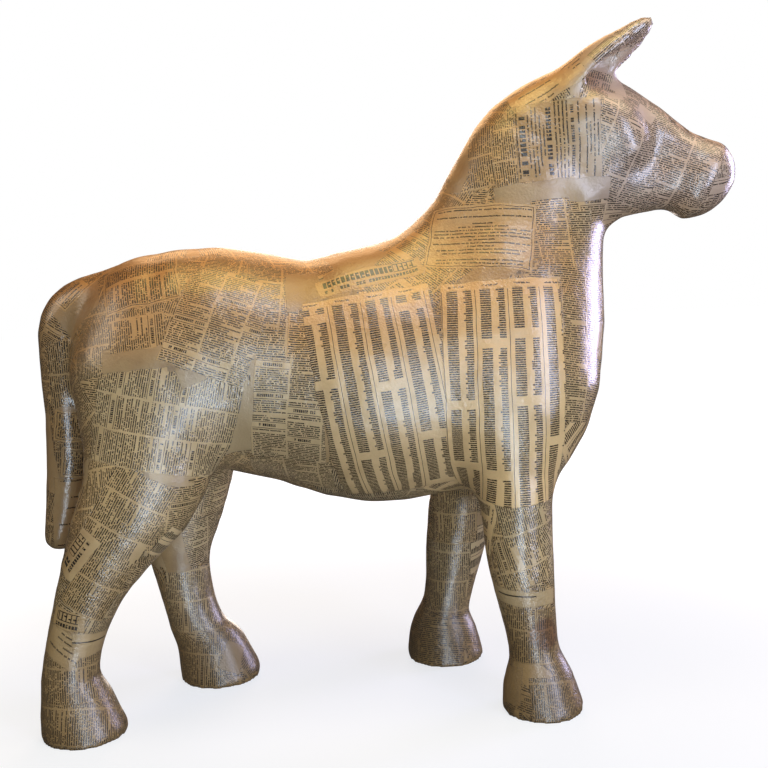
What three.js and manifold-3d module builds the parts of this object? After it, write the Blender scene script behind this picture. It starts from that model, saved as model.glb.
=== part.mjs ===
// A standing papier-mache donkey, one closed piece: barrel, neck, head, ears, tail and four legs.
// Millimetres. +X is the way it faces, +Y its left side, +Z up. It stands on its four soles at z = 0.
//
// The form is a soft union of limbs. A limb is a short row of stations along its middle line,
// each with a half-depth and a half-width. The union is turned into a mesh on an even grid,
// thinned to the triangles that its curves need, and cut flat under the hooves.

import * as THREE from 'three';
import Module from 'manifold-3d';
import { mergeVertices } from 'three/addons/utils/BufferGeometryUtils.js';

// ---- Driving dimensions -------------------------------------------------------------------

const BACK_HEIGHT = 504;        // lowest part of the back above the floor
const BARREL_DEPTH = 281;       // back to belly, at the girth
const BARREL_WIDTH = 224;       // side to side, at the girth
const BREAST_FRONT = 246;       // how far the upright breast lies ahead of the middle
const RUMP_BACK = -330;         // where the buttocks end
const HEAD_TURN = 8;            // degrees that the head looks towards its right
const HEAD_PIVOT = [225, 0];    // the upright axis that the head turns about
const FRONT_TREAD = [85, 92];   // the right and left front legs' distances from the middle plane
const HIND_TREAD = [74, 69];    // the right and left hind legs' distances from the middle plane

const GRID = 4.5;               // pitch of the grid that the form is read on
const STEPS = 3;                // straight steps between two stations of a limb
const MAX_TRIANGLES = 9400;     // after thinning
const NECK_JOIN = 70;           // fillet between the neck and the barrel
const SOFT_JOIN = 34;           // fillet where the legs and the crest flow into the trunk
const HEAD_JOIN = 13;           // fillet between the parts of the head
const THROAT_JOIN = 24;         // fillet between the head and the neck
const EAR_JOIN = 14;            // fillet at the foot of an ear
const EAR_EDGE = 4;             // rounding of the rims of an ear
const TAIL_JOIN = 9;            // crease between the tail and the rump

// ---- Stations ------------------------------------------------------------------------------
// [ahead, left, up, half-depth, half-width]: the half-depth is measured in the plane that holds
// the limb's run and the upright, and the half-width from side to side.

const girth = { half: BARREL_DEPTH / 2, middle: BACK_HEIGHT - BARREL_DEPTH / 2, wide: BARREL_WIDTH / 2 };

const RUMP_MIDDLE = -268;
const barrel = {
  stations: [
    [RUMP_MIDDLE, 0, 403, 107, 92],
    [-190, 0, 397, 122, 103],
    [-100, 0, 376, 125, 103],
    [-15, 0, girth.middle, girth.half, girth.wide],
    [65, 0, 367, 136, girth.wide],
    [148, 0, 374, 124, 102],
  ],
  caps: [RUMP_MIDDLE - RUMP_BACK, 75],
};

const neck = {
  stations: [
    [148, 0, 344, 68, 98],
    [156, 0, 440, BREAST_FRONT - 156, 92],
    [164, 0, 520, 93, 74],
    [186, 0, 590, 80, 58],
    [216, 0, 640, 54, 48],
  ],
  caps: [88, 40],
};

const crest = {
  stations: [
    [-30, 0, 474, 24, 56],
    [30, 0, 493, 24, 42],
    [86, 0, 540, 22, 30],
    [124, 0, 598, 20, 24],
    [152, 0, 638, 20, 22],
    [200, 0, 666, 18, 22],
    [244, 0, 690, 18, 24],
  ],
  caps: [24, 16],
};

const skull = {
  stations: [
    [226, 0, 618, 62, 50],
    [260, 0, 607, 68, 56],
  ],
  caps: [40, 42],
};

const brow = (side) => ({
  stations: [
    [244, side * 31, 646, 25, 25],
    [266, side * 32, 629, 27, 26],
    [284, side * 30, 604, 23, 24],
  ],
  caps: [16, 14],
});

const bridge = {
  stations: [
    [262, 0, 646, 37, 36],
    [298, 0, 624, 36, 34],
    [332, 0, 597, 34, 32],
    [354, 0, 583, 36, 34],
    [368, 0, 574, 40, 39],
  ],
  caps: [30, 14],
};

const jaw = {
  stations: [
    [250, 0, 580, 54, 48],
    [296, 0, 572, 36, 38],
    [334, 0, 568, 30, 34],
    [358, 0, 559, 35, 36],
  ],
  caps: [36, 14],
};

const tail = {
  stations: [
    [-296, 0, 470, 28, 34],
    [-334, 0, 457, 30, 32],
    [-353, 0, 428, 28, 30],
    [-355, 0, 340, 25, 28],
    [-360, 0, 262, 24, 26],
    [-374, 0, 198, 17, 22],
  ],
  caps: [30, 12],
};

// The two legs of a pair are one form; they differ in their stride and, a little, in girth.
const FRONT_LEG = {
  up: [350, 255, 185, 140, 80, 52, 24, 0],
  depth: [80, 44, 38, 34, 28, 31, 44, 45],
  width: [50, 42, 35, 31, 27, 30, 41, 45],
  inset: [26, 10, 3, 0, 0, 0, 0, 0],
};
const HIND_LEG = {
  up: [378, 277, 215, 158, 100, 56, 26, 0],
  depth: [80, 67, 51, 36, 30, 33, 44, 47],
  width: [46, 44, 39, 33, 28, 31, 41, 45],
  inset: [18, 6, 2, 0, 0, 0, 0, 0],
};
const LEG_TOP = 50;             // rounding of a leg's top, inside the trunk
const SOLE_DROP = 30;           // the leg runs on below the floor, so the cut leaves a full sole

function leg(form, side, tread, stout, ahead) {
  const stations = ahead.map((x, i) => [
    x, side * (tread - form.inset[i]), form.up[i], form.depth[i] * stout, form.width[i] * stout,
  ]);
  return { stations, caps: [LEG_TOP, SOLE_DROP] };
}

const legs = [
  leg(FRONT_LEG, -1, FRONT_TREAD[0], 0.98, [140, 135, 135, 139, 146, 149, 152, 157]),
  leg(FRONT_LEG, 1, FRONT_TREAD[1], 1.06, [128, 106, 94, 86, 75, 69, 67, 70]),
  leg(HIND_LEG, -1, HIND_TREAD[0], 0.98, [-252, -260, -296, -326, -347, -354, -348, -341]),
  leg(HIND_LEG, 1, HIND_TREAD[1], 1.04, [-248, -246, -248, -253, -245, -233, -218, -209]),
];

// An ear is a blunt leaf rolled round a hollow that faces forward and a little outward.
const EAR = {
  foot: [222, 30, 658], tip: [304, 34, 736],
  half: [24, 24, 21, 15, 8],    // half the chord from rim to rim, foot to tip
  thick: [36, 36, 31, 20, 9],   // from the chord to the back of the ear
  facing: 28,                   // degrees that the hollow looks outward from straight ahead
  wall: 8,                      // thickness of the rim
  floor: 13,                    // thickness behind the hollow
  rimAhead: 3,                  // the rims stand this far ahead of the chord
  caps: [12, 8],                // roundings past the foot and the tip
  least: 2,                     // the hollow never gets thinner than this
};

// ---- Distance to a limb ----------------------------------------------------------------------

const SIDEWAYS = new THREE.Vector3(0, 1, 0);
const REACH = 60;               // beyond this far from a limb's box, only the box is measured

function smooth(before, from, to, after, t) {
  const start = (to - before) / 2;
  const end = (after - from) / 2;
  const bend = 3 * (to - from) - 2 * start - end;
  const twist = 2 * (from - to) + start + end;
  return from + t * (start + t * (bend + t * twist));
}

function refine(stations) {
  const at = (i) => stations[Math.min(stations.length - 1, Math.max(0, i))];
  const rows = [];
  for (let i = 0; i + 1 < stations.length; i++) {
    for (let step = 0; step < STEPS; step++) {
      rows.push(at(i).map((value, c) =>
        smooth(at(i - 1)[c], value, at(i + 1)[c], at(i + 2)[c], step / STEPS)));
    }
  }
  rows.push(stations[stations.length - 1]);
  return rows;
}

function buildLimb({ stations, caps, side = SIDEWAYS }) {
  const rows = refine(stations);
  const box = new THREE.Box3();
  const segments = [];
  for (const [x, y, z, depth, width] of rows) {
    const most = Math.max(depth, width, ...caps);
    box.expandByPoint(new THREE.Vector3(x - most, y - most, z - most));
    box.expandByPoint(new THREE.Vector3(x + most, y + most, z + most));
  }
  for (let i = 0; i + 1 < rows.length; i++) {
    const [a, b] = [rows[i], rows[i + 1]];
    const from = new THREE.Vector3(a[0], a[1], a[2]);
    const run = new THREE.Vector3(b[0], b[1], b[2]).sub(from);
    const along = run.clone().normalize();
    const deep = new THREE.Vector3().crossVectors(along, side).normalize();
    const wide = new THREE.Vector3().crossVectors(deep, along).normalize();
    segments.push({
      from, run, along, deep, wide, length2: run.lengthSq(),
      depth: [a[3], b[3]], width: [a[4], b[4]],
      startCap: i === 0 ? caps[0] : null,
      endCap: i + 2 === rows.length ? caps[1] : null,
    });
  }
  return { segments, box };
}

const offset = new THREE.Vector3();

function segmentDistance(segment, x, y, z) {
  const { from, run, along, deep, wide, length2, depth, width } = segment;
  offset.set(x - from.x, y - from.y, z - from.z);
  const t = Math.min(1, Math.max(0, offset.dot(run) / length2));
  offset.addScaledVector(run, -t);
  const halfDepth = depth[0] + (depth[1] - depth[0]) * t;
  const halfWidth = width[0] + (width[1] - width[0]) * t;
  const past = offset.dot(along);
  const cap = (past < 0 ? segment.startCap : segment.endCap) ?? Math.min(halfDepth, halfWidth);
  const u = offset.dot(deep) / halfDepth;
  const v = offset.dot(wide) / halfWidth;
  const w = past / cap;
  const reach = Math.sqrt(u * u + v * v + w * w);
  const slope = Math.sqrt((u / halfDepth) ** 2 + (v / halfWidth) ** 2 + (w / cap) ** 2);
  return slope > 0 ? reach * (reach - 1) / slope : -Math.min(halfDepth, halfWidth);
}

function limbDistance({ segments, box }, x, y, z) {
  const away = Math.hypot(
    Math.max(box.min.x - x, x - box.max.x, 0),
    Math.max(box.min.y - y, y - box.max.y, 0),
    Math.max(box.min.z - z, z - box.max.z, 0));
  if (away > REACH) return away;
  let nearest = Infinity;
  for (const segment of segments) nearest = Math.min(nearest, segmentDistance(segment, x, y, z));
  return nearest;
}

function softMin(a, b, fillet) {
  const h = Math.max(fillet - Math.abs(a - b), 0) / fillet;
  return Math.min(a, b) - h * h * fillet / 4;
}

function softMax(a, b, fillet) {
  return -softMin(-a, -b, fillet);
}

// ---- The whole form --------------------------------------------------------------------------

function buildEar(side) {
  const foot = new THREE.Vector3(EAR.foot[0], side * EAR.foot[1], EAR.foot[2]);
  const tip = new THREE.Vector3(EAR.tip[0], side * EAR.tip[1], EAR.tip[2]);
  const along = tip.clone().sub(foot).normalize();
  const ahead = new THREE.Vector3().crossVectors(SIDEWAYS, along).normalize();
  const turn = THREE.MathUtils.degToRad(EAR.facing);
  const facing = ahead.clone().multiplyScalar(Math.cos(turn))
    .addScaledVector(SIDEWAYS, side * Math.sin(turn));
  const chord = new THREE.Vector3().crossVectors(facing, along).normalize();
  const row = (inset, sink) => EAR.half.map((half, i) => {
    const p = foot.clone().lerp(tip, i / (EAR.half.length - 1));
    return [p.x, p.y, p.z, Math.max(EAR.least, EAR.thick[i] - sink), Math.max(EAR.least, half - inset)];
  });
  return {
    foot, facing,
    shell: buildLimb({ stations: row(0, 0), caps: EAR.caps, side: chord }),
    hollow: buildLimb({ stations: row(EAR.wall, EAR.floor), caps: [EAR.least, EAR.least], side: chord }),
  };
}

const fromFoot = new THREE.Vector3();

function earDistance({ foot, facing, shell, hollow }, x, y, z) {
  const cup = softMax(limbDistance(shell, x, y, z), -limbDistance(hollow, x, y, z), EAR_EDGE);
  return softMax(cup, fromFoot.set(x, y, z).sub(foot).dot(facing) - EAR.rimAhead, EAR_EDGE);
}

const [barrelLimb, neckLimb] = [barrel, neck].map(buildLimb);
const outer = [crest, ...legs].map(buildLimb);
const face = [skull, bridge, jaw, brow(-1), brow(1)].map(buildLimb);
const tailLimb = buildLimb(tail);
const ears = [buildEar(-1), buildEar(1)];

const turnCos = Math.cos(THREE.MathUtils.degToRad(HEAD_TURN));
const turnSin = Math.sin(THREE.MathUtils.degToRad(HEAD_TURN));

function headPlace(x, y) {
  const dx = x - HEAD_PIVOT[0];
  const dy = y - HEAD_PIVOT[1];
  return [HEAD_PIVOT[0] + dx * turnCos - dy * turnSin, HEAD_PIVOT[1] + dx * turnSin + dy * turnCos];
}

// The head and the ears all lie ahead of and above this.
const HEAD_FROM = { ahead: 150, up: 480 };

function formDistance(x, y, z) {
  let form = softMin(
    limbDistance(barrelLimb, x, y, z), limbDistance(neckLimb, x, y, z), NECK_JOIN);
  for (const limb of outer) form = softMin(form, limbDistance(limb, x, y, z), SOFT_JOIN);
  form = softMin(form, limbDistance(tailLimb, x, y, z), TAIL_JOIN);
  if (x > HEAD_FROM.ahead && z > HEAD_FROM.up) {
    const [hx, hy] = headPlace(x, y);
    let head = Infinity;
    for (const limb of face) head = softMin(head, limbDistance(limb, hx, hy, z), HEAD_JOIN);
    form = softMin(form, head, THROAT_JOIN);
    for (const ear of ears) form = softMin(form, earDistance(ear, hx, hy, z), EAR_JOIN);
  }
  return form;
}

// ---- Surface on a grid -------------------------------------------------------------------------
// One vertex sits in each grid cell that the surface crosses, at the middle of its crossings.

const BOX_LOW = [-460, -160, -70];
const BOX_HIGH = [440, 160, 780];
const BLOCK = 6;                // cells to a side of a block that is read only once if it is far off
const FAR_OFF = 1.6;            // how many blocks away from the surface counts as far
const JUST_INSIDE = -0.05;      // reading given to a grid point that is filled in

function readGrid() {
  const size = BOX_LOW.map((low, k) => Math.ceil((BOX_HIGH[k] - low) / GRID) + 1);
  const [nx, ny, nz] = size;
  const values = new Float32Array(nx * ny * nz);
  const read = (i, j, k) => formDistance(
    BOX_LOW[0] + i * GRID, BOX_LOW[1] + j * GRID, BOX_LOW[2] + k * GRID);
  for (let k0 = 0; k0 < nz; k0 += BLOCK) {
    for (let j0 = 0; j0 < ny; j0 += BLOCK) {
      for (let i0 = 0; i0 < nx; i0 += BLOCK) {
        const middle = read(i0 + BLOCK / 2, j0 + BLOCK / 2, k0 + BLOCK / 2);
        const far = Math.abs(middle) > FAR_OFF * BLOCK * GRID;
        for (let k = k0; k < Math.min(k0 + BLOCK, nz); k++) {
          for (let j = j0; j < Math.min(j0 + BLOCK, ny); j++) {
            for (let i = i0; i < Math.min(i0 + BLOCK, nx); i++) {
              values[i + nx * (j + ny * k)] = far ? middle : read(i, j, k);
            }
          }
        }
      }
    }
  }
  return { size, values };
}

const CORNERS = [0, 1, 2, 3, 4, 5, 6, 7].map((n) => [n & 1, (n >> 1) & 1, (n >> 2) & 1]);
const EDGES = [];
for (let a = 0; a < 8; a++) {
  for (const bit of [1, 2, 4]) if (!(a & bit)) EDGES.push([a, a | bit]);
}

// For each of the 256 ways that a cell's corners can lie inside or outside, whether the inside
// corners and the outside corners are each in one piece, joined along the cell's edges.
const SOUND = Array.from({ length: 256 }, (_, sides) => {
  const group = CORNERS.map((_, n) => n);
  const root = (n) => (group[n] === n ? n : root(group[n]));
  for (const [a, b] of EDGES) {
    if (((sides >> a) & 1) === ((sides >> b) & 1)) group[root(a)] = root(b);
  }
  return new Set(group.map((_, n) => root(n))).size <= 2;
});

// Fills the corner nearest the surface wherever two parts of it would touch in one cell.
function fillPinches({ size, values }) {
  const [nx, ny, nz] = size;
  const corners = CORNERS.map(([x, y, z]) => x + nx * (y + ny * z));
  let found = true;
  while (found) {
    found = false;
    for (let cell = 0; cell < nx * ny * (nz - 1) - nx - 1; cell++) {
      let sides = 0;
      corners.forEach((corner, n) => { if (values[cell + corner] < 0) sides |= 1 << n; });
      if (SOUND[sides]) continue;
      const outside = corners.filter((corner) => values[cell + corner] >= 0);
      outside.sort((a, b) => values[cell + a] - values[cell + b]);
      values[cell + outside[0]] = JUST_INSIDE;
      found = true;
    }
  }
  return { size, values };
}

function surfaceMesh({ size, values }) {
  const [nx, ny, nz] = size;
  const stride = [1, nx, nx * ny];
  const at = (i, j, k) => i + nx * (j + ny * k);
  const cellVertex = new Int32Array(nx * ny * nz).fill(-1);
  const points = [];
  for (let k = 0; k + 1 < nz; k++) {
    for (let j = 0; j + 1 < ny; j++) {
      for (let i = 0; i + 1 < nx; i++) {
        const corner = CORNERS.map(([x, y, z]) => values[at(i + x, j + y, k + z)]);
        const sum = [0, 0, 0];
        let crossings = 0;
        for (const [a, b] of EDGES) {
          if ((corner[a] < 0) === (corner[b] < 0)) continue;
          const t = corner[a] / (corner[a] - corner[b]);
          for (let d = 0; d < 3; d++) sum[d] += CORNERS[a][d] + t * (CORNERS[b][d] - CORNERS[a][d]);
          crossings++;
        }
        if (!crossings) continue;
        cellVertex[at(i, j, k)] = points.length;
        points.push([i, j, k].map((c, d) => BOX_LOW[d] + GRID * (c + sum[d] / crossings)));
      }
    }
  }
  const triangles = [];
  for (let k = 1; k + 1 < nz; k++) {
    for (let j = 1; j + 1 < ny; j++) {
      for (let i = 1; i + 1 < nx; i++) {
        const here = at(i, j, k);
        for (let d = 0; d < 3; d++) {
          const inside = values[here] < 0;
          if (inside === (values[here + stride[d]] < 0)) continue;
          const [p, q] = [stride[(d + 1) % 3], stride[(d + 2) % 3]];
          const quad = [here - p - q, here - q, here, here - p].map((c) => cellVertex[c]);
          if (!inside) quad.reverse();
          triangles.push([quad[0], quad[1], quad[2]], [quad[0], quad[2], quad[3]]);
        }
      }
    }
  }
  return { points, triangles };
}

// ---- Thinning --------------------------------------------------------------------------------
// Edges are collapsed, the least noticed first, by the sum of squared distances to the planes
// that meet at their ends.

const PLACES = [0, 0.25, 0.5, 0.75, 1];   // where along an edge its two ends may meet
const LENGTH_COST = 0.02;       // makes long edges dearer, so flat stretches stay evenly divided
const LEAST_CROSS = 0.5;        // a face with a smaller cross product than this has collapsed
const LEAST_FACING = 0.3;       // cosine of the most that a face may turn

function thin({ points, triangles }, wanted) {
  const faces = triangles.map((t) => [...t]);
  const alive = new Uint8Array(faces.length).fill(1);
  const around = points.map(() => new Set());
  faces.forEach((f, n) => f.forEach((v) => around[v].add(n)));
  const quadrics = points.map(() => new Float64Array(10));
  const [e1, e2, normal] = [new THREE.Vector3(), new THREE.Vector3(), new THREE.Vector3()];

  function faceNormal(a, b, c) {
    e1.set(b[0] - a[0], b[1] - a[1], b[2] - a[2]);
    e2.set(c[0] - a[0], c[1] - a[1], c[2] - a[2]);
    return normal.crossVectors(e1, e2);
  }

  for (const f of faces) {
    const n = faceNormal(...f.map((v) => points[v]));
    const area = n.length() / 2;
    n.normalize();
    const p = points[f[0]];
    const w = -(n.x * p[0] + n.y * p[1] + n.z * p[2]);
    const plane = [n.x, n.y, n.z, w];
    for (const v of f) {
      let slot = 0;
      for (let r = 0; r < 4; r++) {
        for (let c = r; c < 4; c++) quadrics[v][slot++] += area * plane[r] * plane[c];
      }
    }
  }

  const quadricError = (q, p) => {
    const h = [p[0], p[1], p[2], 1];
    let slot = 0;
    let sum = 0;
    for (let r = 0; r < 4; r++) {
      for (let c = r; c < 4; c++) sum += (r === c ? 1 : 2) * q[slot++] * h[r] * h[c];
    }
    return sum;
  };

  // The best of a few places along the edge, which keeps thin rims where they are.
  function bestPlace(a, b) {
    const q = quadrics[a].map((value, i) => value + quadrics[b][i]);
    let best = null;
    for (const t of PLACES) {
      const p = points[a].map((value, i) => value + t * (points[b][i] - value));
      const error = quadricError(q, p);
      if (!best || error < best.error) best = { error, p };
    }
    const long = Math.hypot(...points[a].map((value, i) => value - points[b][i]));
    best.cost = best.error + LENGTH_COST * long * long;
    return best;
  }

  const version = new Float64Array(points.length);
  const heap = [];
  const swap = (i, j) => { [heap[i], heap[j]] = [heap[j], heap[i]]; };
  function push(entry) {
    heap.push(entry);
    let i = heap.length - 1;
    while (i > 0 && heap[i].cost < heap[(i - 1) >> 1].cost) {
      swap(i, (i - 1) >> 1);
      i = (i - 1) >> 1;
    }
  }
  function pop() {
    swap(0, heap.length - 1);
    const top = heap.pop();
    for (let i = 0; ;) {
      const [left, right] = [2 * i + 1, 2 * i + 2];
      let least = i;
      if (left < heap.length && heap[left].cost < heap[least].cost) least = left;
      if (right < heap.length && heap[right].cost < heap[least].cost) least = right;
      if (least === i) return top;
      swap(i, least);
      i = least;
    }
  }
  const offer = (a, b) => {
    const best = bestPlace(a, b);
    push({ a, b, p: best.p, cost: best.cost, stamp: version[a] + version[b] });
  };
  const neighbours = (v) => {
    const found = new Set();
    for (const n of around[v]) for (const other of faces[n]) if (other !== v) found.add(other);
    return found;
  };

  faces.forEach((f) => {
    for (let s = 0; s < 3; s++) if (f[s] < f[(s + 1) % 3]) offer(f[s], f[(s + 1) % 3]);
  });

  function flips(v, skip, place) {
    for (const n of around[v]) {
      if (faces[n].includes(skip)) continue;
      const before = faceNormal(...faces[n].map((u) => points[u])).clone();
      const after = faceNormal(...faces[n].map((u) => (u === v ? place : points[u])));
      const size = before.length() * after.length();
      if (after.length() < LEAST_CROSS || before.dot(after) < LEAST_FACING * size) return true;
    }
    return false;
  }

  let count = faces.length;
  while (count > wanted && heap.length) {
    const { a, b, p, stamp } = pop();
    if (version[a] < 0 || version[b] < 0 || stamp !== version[a] + version[b]) continue;
    const common = [...neighbours(a)].filter((v) => neighbours(b).has(v));
    if (common.length !== 2 || flips(a, b, p) || flips(b, a, p)) continue;
    for (const n of [...around[b]]) {
      const f = faces[n];
      if (f.includes(a)) {
        alive[n] = 0;
        count--;
        f.forEach((v) => around[v].delete(n));
      } else {
        f[f.indexOf(b)] = a;
        around[a].add(n);
      }
    }
    quadrics[a] = quadrics[a].map((value, i) => value + quadrics[b][i]);
    points[a] = p;
    version[b] = -Infinity;
    version[a]++;
    for (const v of neighbours(a)) {
      if (version[v] >= 0) offer(a, v);
    }
  }
  return { points, triangles: faces.filter((_, n) => alive[n]) };
}

// ---- Solid -----------------------------------------------------------------------------------

const wasm = await Module();
wasm.setup();

const ON_FLOOR = 0.3;           // a corner this near the floor is on it
const SAME_POINT = 1e-4;        // corners this near each other are one

function toSolid(geometry) {
  return new wasm.Manifold(new wasm.Mesh({
    numProp: 3,
    vertProperties: new Float32Array(geometry.attributes.position.array),
    triVerts: new Uint32Array(geometry.index.array),
  }));
}

function toPlainMesh(solid) {
  const { vertProperties, triVerts } = solid.getMesh();
  const rows = (flat) =>
    Array.from({ length: flat.length / 3 }, (_, n) => [...flat.slice(3 * n, 3 * n + 3)]);
  return { points: rows(vertProperties), triangles: rows(triVerts) };
}

function toGeometry({ points, triangles }) {
  const geometry = new THREE.BufferGeometry();
  geometry.setAttribute('position', new THREE.Float32BufferAttribute(points.flat(), 3));
  geometry.setIndex(triangles.flat());
  return mergeVertices(geometry, SAME_POINT);
}

function underFloor() {
  const [length, width, depth] = [2000, 1000, 100];
  const block = new THREE.BoxGeometry(length, width, depth).translate(0, 0, -depth / 2);
  block.deleteAttribute('normal');
  block.deleteAttribute('uv');
  return mergeVertices(block);
}

function buildDonkey() {
  const whole = toSolid(toGeometry(surfaceMesh(fillPinches(readGrid()))));
  const standing = whole.subtract(toSolid(underFloor()));
  const form = thin(toPlainMesh(standing), MAX_TRIANGLES);
  for (const point of form.points) {
    if (Math.abs(point[2]) < ON_FLOOR) point[2] = 0;
  }
  const geometry = toGeometry(form);
  geometry.computeBoundingBox();
  const middle = geometry.boundingBox.getCenter(new THREE.Vector3());
  geometry.translate(-middle.x, -middle.y, 0);
  geometry.computeVertexNormals();
  return geometry;
}

const varnishedNewsprint = new THREE.MeshStandardMaterial({
  color: 0xb59a72, roughness: 0.35, metalness: 0,
});

const donkey = new THREE.Mesh(buildDonkey(), varnishedNewsprint);
donkey.name = 'donkey';

const model = new THREE.Group();
model.add(donkey);

export default model;
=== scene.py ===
"""A papier-mache donkey pasted over with newspaper sheets and varnished, on a pale floor.

The solid gives the form. Here it gets an even skin with the slight lumps of paper laid by hand,
and some 550 cut and torn sheets are unrolled over it, each flat in its own millimetres. The print
on a sheet is drawn by its material: rows of strokes, rules and boxes, never letters.
"""

import math
from collections import namedtuple

import bpy
import numpy as np
from mathutils import Matrix, Vector, noise


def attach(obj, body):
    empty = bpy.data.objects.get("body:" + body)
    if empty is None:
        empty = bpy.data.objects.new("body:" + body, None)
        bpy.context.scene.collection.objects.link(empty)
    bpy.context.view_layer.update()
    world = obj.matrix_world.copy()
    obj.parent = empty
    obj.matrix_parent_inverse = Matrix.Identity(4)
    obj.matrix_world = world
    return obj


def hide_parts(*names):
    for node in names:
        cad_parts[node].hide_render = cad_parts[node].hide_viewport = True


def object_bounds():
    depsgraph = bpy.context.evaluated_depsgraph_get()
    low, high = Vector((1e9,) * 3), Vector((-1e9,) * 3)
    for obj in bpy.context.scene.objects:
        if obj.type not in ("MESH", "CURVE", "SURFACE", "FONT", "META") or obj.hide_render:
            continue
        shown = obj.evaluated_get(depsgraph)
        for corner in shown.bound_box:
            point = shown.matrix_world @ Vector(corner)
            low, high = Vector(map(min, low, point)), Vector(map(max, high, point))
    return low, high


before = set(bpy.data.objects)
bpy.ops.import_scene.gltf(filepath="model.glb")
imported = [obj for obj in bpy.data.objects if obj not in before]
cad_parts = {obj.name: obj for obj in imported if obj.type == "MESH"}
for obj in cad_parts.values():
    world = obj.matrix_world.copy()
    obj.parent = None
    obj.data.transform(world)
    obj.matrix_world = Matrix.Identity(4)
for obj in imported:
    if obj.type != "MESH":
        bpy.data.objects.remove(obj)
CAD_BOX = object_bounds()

MM = 0.001
rng = np.random.default_rng(7)

# ---- The view ---------------------------------------------------------------------------------

EYE = (-0.0635, -1.1382, 0.465)     # where the viewer stands, beside the donkey's right flank
EYE_YAW, EYE_DIP, EYE_ROLL = -3.0, 5.5, 2.5      # degrees
SENSOR, LENS = 36.0, 46.875         # mm


def set_camera():
    """Looks past the donkey's middle, a little down and leaning a little over."""
    yaw, dip, roll = (math.radians(a) for a in (EYE_YAW, EYE_DIP, EYE_ROLL))
    ahead = Vector((-math.sin(yaw) * math.cos(dip), math.cos(yaw) * math.cos(dip), -math.sin(dip)))
    level = Vector((math.cos(yaw), math.sin(yaw), 0))
    upright = level.cross(ahead)
    right = level * math.cos(roll) - upright * math.sin(roll)
    up = level * math.sin(roll) + upright * math.cos(roll)
    data = bpy.data.cameras.new("viewer")
    data.sensor_width, data.lens = SENSOR, LENS
    camera = bpy.data.objects.new("viewer", data)
    turn = Matrix((right, up, -ahead)).transposed().to_4x4()
    camera.matrix_world = Matrix.Translation(EYE) @ turn
    bpy.context.scene.collection.objects.link(camera)
    bpy.context.scene.camera = camera


# ---- The skin ---------------------------------------------------------------------------------

EVEN = 3.8 * MM                     # pitch of the skin's mesh
SETTLE = 14                         # rounds of smoothing that take the facets away
IN_AND_OUT = (0.6, -0.61)           # how far each round moves a point in, and back out
MOST_SETTLE = 0.9 * MM              # furthest that a point may move as it settles
SOLE = 0.3 * MM                     # height below which points stay flat on the floor
LUMPS = ((95, 0.8), (42, 0.45), (17, 0.28))      # the hand's lumps: width and height, in mm
FEET = 50 * MM                      # height at which the lumps reach their full size
EAR_TIPS = (0.690, 0.730)           # heights between which the ears' ends grow blunt
BLUNT = 4.2 * MM                    # and by how much
HOOF, HOLLOW = 62 * MM, 3.0 * MM    # the hooves' height, and how far their walls hollow


def link(obj):
    """Puts an object into the scene."""
    bpy.context.scene.collection.objects.link(obj)
    return obj


def even_mesh(source):
    """A copy of the solid's form on an even mesh of small quads."""
    rough = link(bpy.data.objects.new("rough", source.data.copy()))
    even = rough.modifiers.new("even", "REMESH")
    even.mode, even.voxel_size, even.adaptivity = "VOXEL", EVEN, 0.0
    depsgraph = bpy.context.evaluated_depsgraph_get()
    mesh = bpy.data.meshes.new_from_object(rough.evaluated_get(depsgraph))
    bpy.data.objects.remove(rough)
    return mesh


def read(items, name, width, kind=np.float64):
    """A property of a mesh's points or corners, as an array."""
    flat = np.empty(len(items) * width, kind)
    items.foreach_get(name, flat)
    return flat.reshape(-1, width) if width > 1 else flat


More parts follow.
